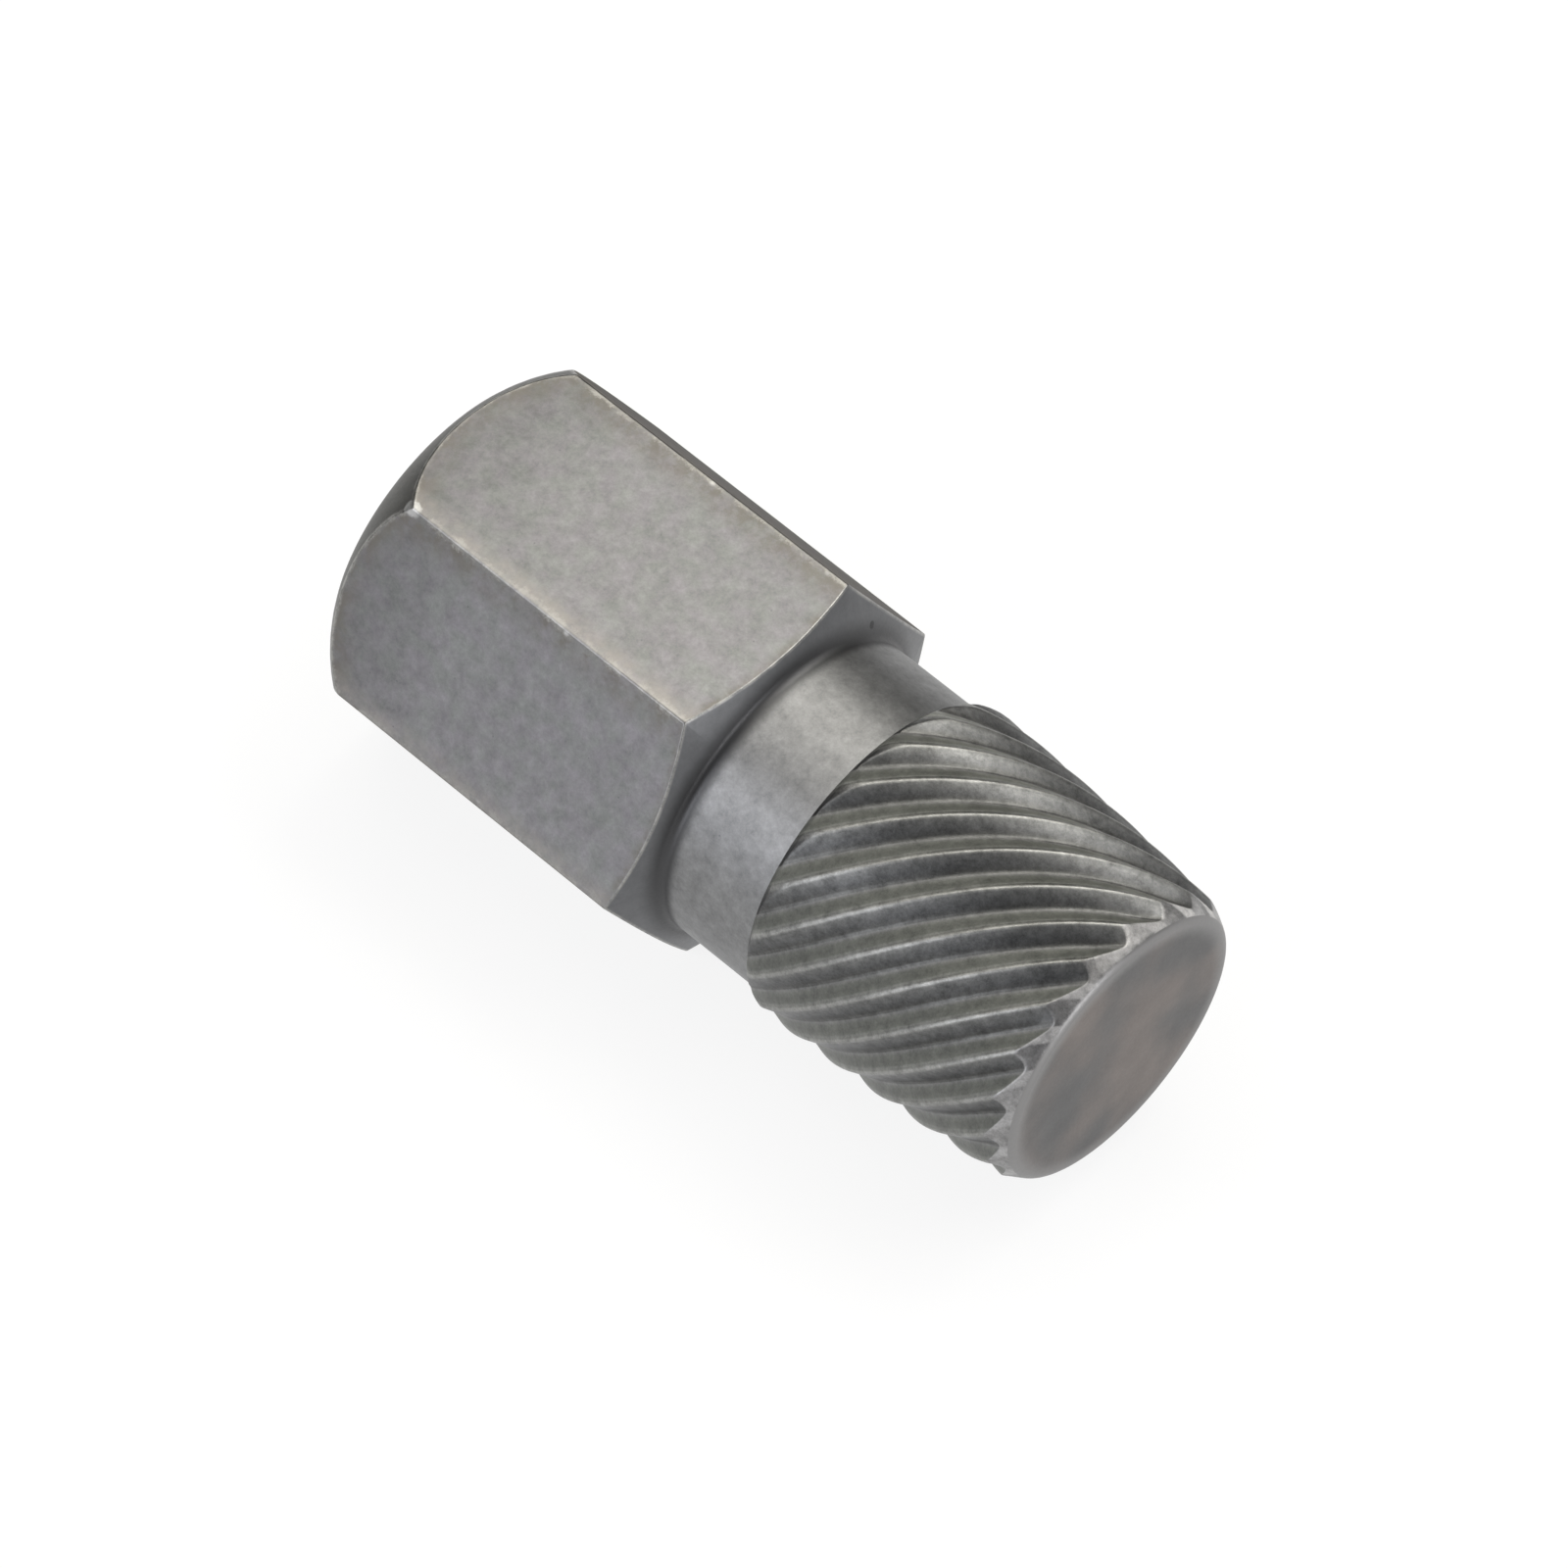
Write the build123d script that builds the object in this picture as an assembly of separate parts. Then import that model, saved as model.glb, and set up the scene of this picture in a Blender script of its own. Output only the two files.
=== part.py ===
from build123d import *
import os
from math import cos, pi, radians, sin, sqrt, tan

# A screw extractor with many ridges, turned and rolled from one bar of tool steel.
# It lies on one flat of its hexagon. +X runs along the tool from the drive end to the
# tip, +Z points up, and the origin is the centre of the drive end's face.
# All lengths are in millimetres and all angles in degrees.

# Whole tool
overall_length = 28.83

# Hexagonal drive
hex_across_flats = 12.7
hex_length = 14.46            # drive face to where the shoulder cone meets the neck
hex_edge_radius = 0.12        # worn edge between two flats
drive_face_diameter = 11.4    # flat disc inside the drive end's turned chamfer
drive_chamfer_length = 1.84   # drive face to the corners of the hexagon
drive_chamfer_crown = 0.157   # how far the chamfer bulges above a straight cone
shoulder_angle = 24.0         # of the shoulder cone, from a plane across the tool

# Neck
neck_diameter = 11.15
neck_fillet = 0.35            # between the shoulder cone and the neck

# Ridges
ridge_count = 19
ridge_lead = 34.1             # length of one whole left-hand turn
ridge_start = 18.2            # distance of the step's foot from the drive face
ridge_phase = 14.6            # angle of the first ridge there, from +Y towards +Z
step_height = 0.24            # steep first part of the run-in, above the neck
step_angle = 50.0             # its slope, from the tool's axis
run_in_length = 0.82          # from the step's foot to where the ridges stand full
run_in_exit_angle = 2.5       # slope left where the run-in meets the crests
crest_diameter_neck_end = 12.0
crest_diameter_tip_end = 10.59
crest_bulge = 0.13            # how far the barrel of the crests stands above a straight taper
groove_depth_neck_end = 0.23
groove_depth_tip_end = 0.33
crest_land = 0.10             # width of the narrow flat on top of each ridge
groove_floor = 0.18           # width of the narrow floor between two ridges

# Tip
tip_face_diameter = 9.88      # before its rim is rounded
tip_chamfer_angle = 30.0      # from the tool's axis
tip_rim_radius = 0.4

# Construction margins
line_point_count = 24         # points that each spiral line passes through
ridge_overrun = 0.4           # extra length of the ridges, trimmed at both ends
blank_margin = 0.6            # how far turning outlines stand outside what they trim

corner_radius = hex_across_flats / sqrt(3)
blank_radius = corner_radius + blank_margin
neck_radius = neck_diameter / 2
drive_face_radius = drive_face_diameter / 2
tip_face_radius = tip_face_diameter / 2
crest_radius_neck_end = crest_diameter_neck_end / 2
crest_radius_tip_end = crest_diameter_tip_end / 2
twist_per_mm = -360.0 / ridge_lead


def crest_radius(x):
    """Radius of the ridge tops at a distance x from the drive face."""
    along = (x - ridge_start) / (overall_length - ridge_start)
    taper = crest_radius_neck_end + (crest_radius_tip_end - crest_radius_neck_end) * along
    return taper + 4 * crest_bulge * along * (1 - along)


def groove_radius(x):
    """Radius of the groove floors at a distance x from the drive face."""
    along = (x - ridge_start) / (overall_length - ridge_start)
    depth = groove_depth_neck_end + (groove_depth_tip_end - groove_depth_neck_end) * along
    return crest_radius(x) - depth


def turned(lines, corner, corner_fillet):
    """The solid that a closed outline makes when it turns about the tool's axis, one corner rounded."""
    outline = make_face(lines)
    vertex = outline.vertices().sort_by_distance(corner)[0]
    return revolve(Plane.XZ * fillet(vertex, corner_fillet), Axis.X)


def hexagon_bar():
    """The hexagonal bar, with flats facing up and down and softened long edges."""
    section = Plane.YZ * RegularPolygon(radius=hex_across_flats / 2, side_count=6, major_radius=False)
    bar = extrude(section, amount=ridge_start)
    return fillet(bar.edges().filter_by(Axis.X), hex_edge_radius)


def turned_shank():
    """What turning leaves of the bar: the crowned drive end, the shoulder cone and the neck."""
    shoulder_rise = (blank_radius - neck_radius) * tan(radians(shoulder_angle))
    crown = SagittaArc(
        (0, drive_face_radius),
        (drive_chamfer_length, corner_radius),
        drive_chamfer_crown,
    )
    rest = Polyline(
        (drive_chamfer_length, corner_radius),
        (drive_chamfer_length + blank_margin, blank_radius),
        (hex_length - shoulder_rise, blank_radius),
        (hex_length, neck_radius),
        (ridge_start, neck_radius),
        (ridge_start, 0),
        (0, 0),
        (0, drive_face_radius),
    )
    return turned([crown, *rest.edges()], (hex_length, neck_radius), neck_fillet)


def spiral_line(radius_at, angle, offset):
    """One long edge of the ridges: it winds left-handed at radius_at(x), offset sideways from angle."""
    first = ridge_start - ridge_overrun
    last = overall_length + ridge_overrun
    points = []
    for i in range(line_point_count):
        x = first + (last - first) * i / (line_point_count - 1)
        radius = radius_at(x)
        turn = radians(ridge_phase + twist_per_mm * (x - ridge_start)) + angle + offset / radius
        points.append((x, radius * cos(turn), radius * sin(turn)))
    return Spline(*points)


def ridged_core():
    """The full-length ridges and grooves: lands, flanks and floors ruled between spiral lines."""
    ridge_angle = 2 * pi / ridge_count
    lines = []
    for ridge in range(ridge_count):
        crest_angle = ridge * ridge_angle
        groove_angle = crest_angle + ridge_angle / 2
        lines.append(spiral_line(crest_radius, crest_angle, -crest_land / 2))
        lines.append(spiral_line(crest_radius, crest_angle, crest_land / 2))
        lines.append(spiral_line(groove_radius, groove_angle, -groove_floor / 2))
        lines.append(spiral_line(groove_radius, groove_angle, groove_floor / 2))
    next_lines = lines[1:] + lines[:1]
    walls = [Face.make_surface_from_curves(line, after) for line, after in zip(lines, next_lines)]
    ends = [make_face(Polyline(*[line @ end for line in lines], close=True)).face() for end in (0, 1)]
    return Solid(Shell(walls + ends))


def ridge_envelope():
    """What turning leaves round the ridges: a step and a rounded run-in, and the chamfered tip."""
    outside = crest_radius_neck_end + blank_margin
    step_end = ridge_start + step_height / tan(radians(step_angle))
    run_in_end = ridge_start + run_in_length
    exit_slope = radians(run_in_exit_angle)
    chamfer_run = (outside - tip_face_radius) / tan(radians(tip_chamfer_angle))
    step = Line((ridge_start, neck_radius), (step_end, neck_radius + step_height))
    run_in = TangentArc(
        (run_in_end, crest_radius(run_in_end)),
        (step_end, neck_radius + step_height),
        tangent=(-cos(exit_slope), -sin(exit_slope)),
    )
    rest = Polyline(
        (run_in_end, crest_radius(run_in_end)),
        (run_in_end + blank_margin, outside),
        (overall_length - chamfer_run, outside),
        (overall_length, tip_face_radius),
        (overall_length, 0),
        (ridge_start, 0),
        (ridge_start, neck_radius),
    )
    return turned([step, run_in, *rest.edges()], (overall_length, tip_face_radius), tip_rim_radius)


def extractor():
    """The whole tool, one piece of steel."""
    shank = hexagon_bar() & turned_shank()
    ridged_end = ridged_core() & ridge_envelope()
    return shank + ridged_end


os.makedirs("parts", exist_ok=True)
export_step(extractor(), "parts/extractor_body.step")
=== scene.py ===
from math import atan2, cos, pi, radians, sin, sqrt, tan

import bmesh
import bpy
from bpy.props import FloatProperty, FloatVectorProperty, IntProperty, PointerProperty
from mathutils import Matrix, Vector


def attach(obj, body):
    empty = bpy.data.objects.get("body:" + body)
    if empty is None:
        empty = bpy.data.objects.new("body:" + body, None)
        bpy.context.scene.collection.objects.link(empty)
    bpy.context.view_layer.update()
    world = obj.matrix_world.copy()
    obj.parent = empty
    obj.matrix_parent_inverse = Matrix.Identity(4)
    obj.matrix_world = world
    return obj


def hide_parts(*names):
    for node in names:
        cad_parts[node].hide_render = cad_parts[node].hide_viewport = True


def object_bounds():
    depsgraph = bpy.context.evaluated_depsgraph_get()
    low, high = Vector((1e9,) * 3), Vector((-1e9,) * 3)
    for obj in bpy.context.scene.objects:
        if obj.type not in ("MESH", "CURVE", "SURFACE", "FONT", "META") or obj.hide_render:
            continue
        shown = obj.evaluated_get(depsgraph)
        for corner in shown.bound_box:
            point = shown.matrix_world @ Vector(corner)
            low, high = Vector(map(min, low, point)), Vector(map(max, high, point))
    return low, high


bl_info = {
    "name": "Screw Extractor",
    "version": (1, 0, 0),
    "blender": (4, 5, 0),
    "location": "View3D > Sidebar > Extractor",
    "description": "Models a hexagon-drive screw extractor with left-hand spiral ridges",
    "category": "Object",
}

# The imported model, and its box before anything is added to it.
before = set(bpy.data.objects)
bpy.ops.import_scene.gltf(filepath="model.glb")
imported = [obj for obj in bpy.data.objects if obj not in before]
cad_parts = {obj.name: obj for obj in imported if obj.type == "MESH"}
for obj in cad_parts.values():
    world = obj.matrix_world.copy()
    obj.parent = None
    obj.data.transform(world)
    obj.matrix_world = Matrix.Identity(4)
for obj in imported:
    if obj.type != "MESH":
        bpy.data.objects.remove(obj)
cad_low, cad_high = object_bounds()

MM = 0.001

# Units and ranges of the properties
LENGTH = {"subtype": "DISTANCE", "unit": "LENGTH"}
ANGLE = {"subtype": "ANGLE"}
SHARE = {"subtype": "FACTOR", "min": 0, "max": 1}
COLOR = {"subtype": "COLOR", "size": 3, "min": 0, "max": 1}


# Sizes, colours and light that a user may change

class ExtractorShape(bpy.types.PropertyGroup):
    """Sizes of the tool, measured along it from the face of its drive end."""
    overall_length: FloatProperty(
        name="Overall length", description="Drive face to tip face",
        default=cad_high.x, **LENGTH)
    across_flats: FloatProperty(
        name="Across flats", description="Wrench size of the hexagon",
        default=cad_high.z - cad_low.z, **LENGTH)
    hex_edge_radius: FloatProperty(
        name="Hexagon edge radius", description="Worn edge between two flats",
        default=0.12 * MM, **LENGTH)
    hex_length: FloatProperty(
        name="Hexagon length", description="Drive face to where the shoulder meets the neck",
        default=14.46 * MM, **LENGTH)
    drive_face_radius: FloatProperty(
        name="Drive face radius", description="Flat disc inside the drive end's chamfer",
        default=5.7 * MM, **LENGTH)
    drive_chamfer_length: FloatProperty(
        name="Drive chamfer length", description="Drive face to the hexagon's corners",
        default=1.84 * MM, **LENGTH)
    drive_chamfer_crown: FloatProperty(
        name="Drive chamfer crown", description="Bulge of the chamfer above a straight cone",
        default=0.157 * MM, **LENGTH)
    shoulder_angle: FloatProperty(
        name="Shoulder angle", description="Slope of the shoulder cone from a plane across",
        default=radians(24), **ANGLE)
    neck_radius: FloatProperty(
        name="Neck radius", description="Round neck between hexagon and ridges",
        default=5.575 * MM, **LENGTH)
    neck_fillet: FloatProperty(
        name="Neck fillet", description="Rounded crease between shoulder and neck",
        default=0.35 * MM, **LENGTH)
    edge_softness: FloatProperty(
        name="Edge softness", description="Width of the worn band on each turned edge",
        default=0.035 * MM, **LENGTH)
    ridge_count: IntProperty(
        name="Ridges", description="Number of ridges round the end", default=19)
    ridge_lead: FloatProperty(
        name="Ridge lead", description="Length of one whole left-hand turn",
        default=34.1 * MM, **LENGTH)
    ridge_start: FloatProperty(
        name="Ridge start", description="Drive face to the foot of the step before the ridges",
        default=18.2 * MM, **LENGTH)
    ridge_phase: FloatProperty(
        name="Ridge phase", description="Angle of the first ridge at the step, from +Y towards +Z",
        default=radians(15.6), **ANGLE)
    crest_radius_neck_end: FloatProperty(
        name="Crest radius at the neck", description="Radius of the ridge tops at their start",
        default=6.0 * MM, **LENGTH)
    crest_radius_tip_end: FloatProperty(
        name="Crest radius at the tip", description="Radius of the ridge tops at the tip",
        default=5.295 * MM, **LENGTH)
    crest_bulge: FloatProperty(
        name="Crest bulge", description="Barrel of the crests above a straight taper",
        default=0.13 * MM, **LENGTH)
    groove_depth_neck_end: FloatProperty(
        name="Groove depth at the neck", description="Ridge top to groove floor",
        default=0.23 * MM, **LENGTH)
    groove_depth_tip_end: FloatProperty(
        name="Groove depth at the tip", description="Ridge top to groove floor",
        default=0.33 * MM, **LENGTH)
    tip_face_radius: FloatProperty(
        name="Tip face radius", description="Flat tip face before its rim is rounded",
        default=4.94 * MM, **LENGTH)
    tip_chamfer_angle: FloatProperty(
        name="Tip chamfer angle", description="Slope of the tip chamfer from the axis",
        default=radians(30), **ANGLE)
    tip_rim_radius: FloatProperty(
        name="Tip rim radius", description="Rounded edge between tip chamfer and tip face",
        default=0.4 * MM, **LENGTH)


class SteelFinish(bpy.types.PropertyGroup):
    """Colours and grain of the bare steel, and the painted shade of the crease."""
    cool_tint: FloatVectorProperty(
        name="Cool tint", description="Pinkish patches of the flats",
        default=(0.211, 0.204, 0.215), **COLOR)
    warm_tint: FloatVectorProperty(
        name="Warm tint", description="Greenish patches of the flats",
        default=(0.199, 0.205, 0.200), **COLOR)
    neck_tint: FloatVectorProperty(
        name="Neck tint", description="Round neck",
        default=(0.205, 0.206, 0.207), **COLOR)
    turned_tint: FloatVectorProperty(
        name="Turned tint", description="Chamfer of the drive end",
        default=(0.088, 0.087, 0.080), **COLOR)
    shoulder_tint: FloatVectorProperty(
        name="Shoulder tint", description="Shoulder cone",
        default=(0.134, 0.136, 0.141), **COLOR)
    # Painted shade: the dark tint laid into the crease between shoulder and neck.
    crease_shade_tint: FloatVectorProperty(
        name="Crease tint", description="Dark crease between shoulder and neck",
        default=(0.068, 0.068, 0.070), **COLOR)
    tip_tint: FloatVectorProperty(
        name="Tip tint", description="Brownish patches of the tip face",
        default=(0.176, 0.155, 0.144), **COLOR)
    tip_cloud_tint: FloatVectorProperty(
        name="Tip cloud tint", description="Greyish patches of the tip face",
        default=(0.112, 0.111, 0.111), **COLOR)
    rim_tint: FloatVectorProperty(
        name="Rim tint", description="Cleaner rim and chamfer of the tip",
        default=(0.248, 0.245, 0.244), **COLOR)
    stain_tint: FloatVectorProperty(
        name="Stain tint", description="Brown stains beside the long edges",
        default=(0.152, 0.142, 0.127), **COLOR)
    pale_tint: FloatVectorProperty(
        name="Pale tint", description="Beige bands beside the long edges",
        default=(0.266, 0.252, 0.238), **COLOR)
    worn_tint: FloatVectorProperty(
        name="Worn tint", description="Rubbed edges",
        default=(0.32, 0.315, 0.30), **COLOR)
    nick_tint: FloatVectorProperty(
        name="Nick tint", description="Bright nicks in the edges",
        default=(0.6, 0.6, 0.59), **COLOR)
    roughness: FloatProperty(
        name="Roughness", description="Matt grain of the steel",
        default=0.45, **SHARE)


class StudioSettings(bpy.types.PropertyGroup):
    """Camera and lamps of the studio."""
    camera_azimuth: FloatProperty(
        name="Camera azimuth", description="Direction of the camera round the tool",
        default=radians(43.406), **ANGLE)
    camera_elevation: FloatProperty(
        name="Camera elevation", description="Height of the camera above the floor",
        default=radians(55.247), **ANGLE)
    camera_roll: FloatProperty(
        name="Camera roll", description="Turn of the camera about its line of sight",
        default=radians(0.438), **ANGLE)
    camera_distance: FloatProperty(
        name="Camera distance", description="Camera to the point that it looks at",
        default=278.136 * MM, **LENGTH)
    camera_lens: FloatProperty(
        name="Lens", description="Focal length in millimetres on a 36 mm sensor",
        default=202.5, subtype="DISTANCE_CAMERA", unit="CAMERA")
    floor_size: FloatProperty(
        name="Floor size", description="Side of the square floor",
        default=2.0, **LENGTH)
    floor_color: FloatVectorProperty(
        name="Floor", description="Plain pale floor",
        default=(0.9, 0.9, 0.9), **COLOR)
    shadow_strength: FloatProperty(
        name="Shadow strength", description="How much of the tool's shadow shows on the floor",
        default=0.15, **SHARE)


# Modelling helpers

SAME_PLACE = 0.001 * MM     # points that differ by less than this along the tool are level


def select_only(*objects):
    """Selects these objects and nothing else."""
    bpy.ops.object.select_all(action="DESELECT")
    for obj in objects:
        obj.select_set(True)
    if objects:
        bpy.context.view_layer.objects.active = objects[0]


def open_mesh(obj, mode):
    """Opens an object in edit mode with nothing selected, in vertex, edge or face mode."""
    select_only(obj)
    bpy.ops.object.mode_set(mode="EDIT")
    bpy.ops.mesh.select_mode(type=mode)
    bpy.ops.mesh.select_all(action="DESELECT")


def close_mesh():
    """Leaves edit mode."""
    bpy.ops.object.mode_set(mode="OBJECT")


def close_shell():
    """Turns all normals of the open mesh outwards and leaves edit mode."""
    bpy.ops.mesh.select_all(action="SELECT")
    bpy.ops.mesh.normals_make_consistent(inside=False)
    close_mesh()


def pick(obj, kind, wanted):
    """In edit mode, selects the elements that wanted() accepts and nothing else."""
    bpy.ops.mesh.select_all(action="DESELECT")
    mesh = bmesh.from_edit_mesh(obj.data)
    found = [element for element in getattr(mesh, kind) if wanted(element)]
    for element in found:
        element.select_set(True)
    mesh.select_flush_mode()
    bmesh.update_edit_mesh(obj.data, loop_triangles=False, destructive=False)
    if not found:
        raise RuntimeError(f"{obj.name}: none of its {kind} is in the place looked for")


def apply_modifier(obj, modifier):
    """Applies one modifier to the mesh."""
    select_only(obj)
    bpy.ops.object.modifier_apply(modifier=modifier.name)


def lay_primitive(add, x, **settings):
    """A new primitive with its axis along the tool, centred at x, its place put into its mesh."""
    select_only()
    add(location=(x, 0, 0), rotation=(0, radians(90), 0), **settings)
    obj = bpy.context.object
    bpy.ops.object.transform_apply(location=True, rotation=True, scale=True)
    return obj


def extrude_by(step):
    """Extrudes what is selected along the tool."""
    bpy.ops.mesh.extrude_region_move(
        TRANSFORM_OT_translate={"value": (step, 0, 0), "orient_type": "GLOBAL"})


def scale_section(factor, x):
    """Scales what is selected about the tool's axis at x."""
    bpy.ops.transform.resize(value=(1, factor, factor), center_override=(x, 0, 0))


def turn_section(angle, x):
    """Turns what is selected about the tool's axis, from +Y towards +Z."""
    # With no window, the operator turns the other way.
    bpy.ops.transform.rotate(value=-angle, orient_axis="X", center_override=(x, 0, 0))


def off_axis(point):
    """Distance of a point from the tool's axis."""
    return sqrt(point.y ** 2 + point.z ** 2)


def angle_round(point):
    """Angle of a point about the tool's axis, from +Y towards +Z."""
    return atan2(point.z, point.y)


def spaced(first, last, steps):
    """Evenly spaced numbers after first, up to last."""
    return [first + (last - first) * i / steps for i in range(1, steps + 1)]


def arc_points(centre, radius, first, last, steps):
    """Points of an arc in the outline's plane, from angle first to angle last."""
    angles = [first, *spaced(first, last, steps)]
    return [(centre[0] + radius * cos(a), centre[1] + radius * sin(a)) for a in angles]


# The shank: hexagonal drive, shoulder and neck

BLANK_MARGIN = 0.6 * MM     # how far the turned blank stands outside the hexagon
NECK_SEAM = 0.35 * MM       # the neck's last ring stands this far before the ridges
HEX_OVERRUN = 1.0 * MM      # extra length of the hexagonal bar at both ends
CROWN_STEPS = 7             # segments of the crowned drive chamfer
CREASE_STEPS = 8            # segments of the rounded crease
EDGE_STEPS = 4              # segments of each rounded long edge
SOFT_EDGE_STEPS = 2         # segments of each worn turned edge
CUT_CLEANING = 0.006 * MM   # points this close after the cut become one
SHARP = radians(18)         # turned edges sharper than this are worn


def corner_radius(shape):
    """Distance of the hexagon's sharp corners from the axis."""
    return shape.across_flats / sqrt(3)


def crown_outline(shape):
    """The crowned chamfer of the drive end, from the drive face to the hexagon's corners."""
    start = Vector((0, shape.drive_face_radius))
    end = Vector((shape.drive_chamfer_length, corner_radius(shape)))
    chord = end - start
    sagitta = shape.drive_chamfer_crown
    radius = (chord.length ** 2 / 4 + sagitta ** 2) / (2 * sagitta)
    outward = Vector((-chord.y, chord.x)).normalized()
    centre = (start + end) / 2 - outward * (radius - sagitta)
    first, last = (atan2(point.y - centre.y, point.x - centre.x) for point in (start, end))
    return arc_points(centre, radius, first, last, CROWN_STEPS)


def crease_outline(shape):
    """The rounded crease between the shoulder cone and the neck."""
    slope = radians(90) - shape.shoulder_angle
    reach = shape.neck_fillet * tan(slope / 2)
    centre = (shape.hex_length + reach, shape.neck_radius + shape.neck_fillet)
    return arc_points(centre, shape.neck_fillet, -pi / 2 - slope, -pi / 2, CREASE_STEPS)


def shank_outline(shape):
    """Everything that turning leaves of the bar, from the drive face to the neck's last ring."""
    outside = corner_radius(shape) + BLANK_MARGIN
    rise = (outside - shape.neck_radius) * tan(shape.shoulder_angle)
    crown_end = (shape.drive_chamfer_length + BLANK_MARGIN, outside)
    shoulder = (shape.hex_length - rise, outside)
    neck_end = (shape.ridge_start - NECK_SEAM, shape.neck_radius)
    return [*crown_outline(shape), crown_end, shoulder, *crease_outline(shape), neck_end]


def turned_blank(shape, around):
    """A solid of revolution, drawn out of the drive face ring by ring."""
    blank = lay_primitive(
        bpy.ops.mesh.primitive_circle_add, 0,
        vertices=around, radius=shape.drive_face_radius, fill_type="NGON")
    open_mesh(blank, "FACE")
    bpy.ops.mesh.select_all(action="SELECT")
    (x, radius), *rings = shank_outline(shape)
    for next_x, next_radius in rings:
        extrude_by(next_x - x)
        scale_section(next_radius / radius, next_x)
        x, radius = next_x, next_radius
    close_shell()
    return blank


def hexagon_bar(shape):
    """The hexagonal bar, flats up and down, with its long edges rounded."""
    length = shape.ridge_start + 2 * HEX_OVERRUN
    bar = lay_primitive(
        bpy.ops.mesh.primitive_cylinder_add, length / 2 - HEX_OVERRUN,
        vertices=6, radius=corner_radius(shape), depth=length)
    open_mesh(bar, "VERT")
    corner = next(iter(bmesh.from_edit_mesh(bar.data).verts)).co
    first_corner = angle_round(corner)
    bpy.ops.mesh.select_all(action="SELECT")
    turn_section(-first_corner, 0)
    bpy.ops.mesh.select_mode(type="EDGE")
    pick(bar, "edges", lambda edge: abs(edge.verts[0].co.x - edge.verts[1].co.x) > length / 2)
    # This offset leaves the wanted radius on a corner of 120 degrees.
    bpy.ops.mesh.bevel(
        offset=shape.hex_edge_radius * tan(radians(30)), offset_type="OFFSET",
        segments=EDGE_STEPS, profile=0.5, affect="EDGES")
    close_mesh()
    return bar


def shank(shape, around):
    """The bar turned to shape: drive chamfer, flats, shoulder cone and neck."""
    blank = turned_blank(shape, around)
    bar = hexagon_bar(shape)
    cut = blank.modifiers.new("Hexagon", "BOOLEAN")
    cut.operation = "INTERSECT"
    cut.solver = "EXACT"
    cut.object = bar
    apply_modifier(blank, cut)
    bpy.data.objects.remove(bar, do_unlink=True)
    return blank


def clean_cut_arcs(tool, shape):
    """Takes out the crown's ring lines that run into a flat, which would fold under a bevel."""
    flat = shape.across_flats / 2 - CUT_CLEANING

    def on_flat(point):
        side, half = point.y * sin(radians(60)), point.z * cos(radians(60))
        return max(abs(point.z), abs(side + half), abs(side - half)) > flat

    def ring_end(edge):
        first, last = (vertex.co for vertex in edge.verts)
        level = abs(first.x - last.x) < SAME_PLACE
        on_crown = CUT_CLEANING < first.x < shape.drive_chamfer_length
        return level and on_crown and on_flat(first) != on_flat(last)

    pick(tool, "edges", ring_end)
    bpy.ops.mesh.dissolve_edges(use_verts=True)


def soften_turned_edges(tool, shape):
    """Wears the sharp arcs where the turned ends cut the flats, and the drive face's rim."""
    crease_radius = shape.neck_radius + shape.neck_fillet

    def worn_arc(edge):
        first, last = (vertex.co for vertex in edge.verts)
        lengthwise = abs(first.x - last.x) > shape.hex_length / 4
        inner = min(off_axis(first), off_axis(last))
        at_neck = first.x > shape.drive_chamfer_length and inner < crease_radius
        return edge.calc_face_angle(0) > SHARP and not lengthwise and not at_neck

    open_mesh(tool, "EDGE")
    bpy.ops.mesh.select_all(action="SELECT")
    bpy.ops.mesh.remove_doubles(threshold=CUT_CLEANING)
    clean_cut_arcs(tool, shape)
    pick(tool, "edges", worn_arc)
    bpy.ops.mesh.bevel(
        offset=shape.edge_softness, offset_type="OFFSET", segments=SOFT_EDGE_STEPS,
        profile=0.5, affect="EDGES")
    close_mesh()


# The ridges

STEP_HEIGHT = 0.24 * MM      # steep first part of the run-in, above the neck
STEP_ANGLE = radians(50)     # its slope, from the tool's axis
RUN_IN_LENGTH = 0.82 * MM    # from the step's foot to where the ridges stand full
RUN_IN_EXIT = radians(2.5)   # slope left where the run-in meets the crests
CREST_LAND = 0.10 * MM       # width of the narrow flat on top of each ridge
GROOVE_FLOOR = 0.18 * MM     # width of the narrow floor between two ridges
CREST_BLEND = 0.09           # rounding of the crests, as a share of the grooves' depth
GROOVE_BLEND = 0.10          # rounding of the grooves, as a share of their depth
EDGE_BLEND = 0.03 * MM       # rounding where ridges meet the turned surfaces
RUN_OUT_LENGTH = 1.1 * MM    # last stretch of the grooves, where they grow shallower
RUN_OUT_SHARE = 0.7          # how much of their depth they lose there
RADIUS_STEP = 1e-9           # a point that would move less than this stays

# Places of the mesh columns across half a ridge, from its crest to the middle of the groove.
HALF_RIDGE = (0.014, 0.028, 0.045, 0.08, 0.15, 0.22, 0.29, 0.36, 0.41, 0.45, 0.475, 0.5)

# Rings of the ridged end: lengths of its finely divided ends, and the rings in each stretch.
NECK_RINGS = (0.2 * MM, 0.02 * MM)  # before the step's foot
FINE_RUN_IN = 1.0 * MM
FINE_TIP = 0.9 * MM
RUN_IN_RINGS = 28
BARREL_RINGS = 56
CHAMFER_RINGS = 22
RIM_RINGS = 8
RIM_TURN = 60                # degrees that the tip's rounded rim turns through

SPREAD_ROOM = 2.0            # how many ridges the first ring stands aside while it is spread
STRIP_CLEANING = 0.003 * MM  # points this close where two ridges meet become one
SMOOTH_ANGLE = radians(32)   # faces that meet at less than this shade as one surface


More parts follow.
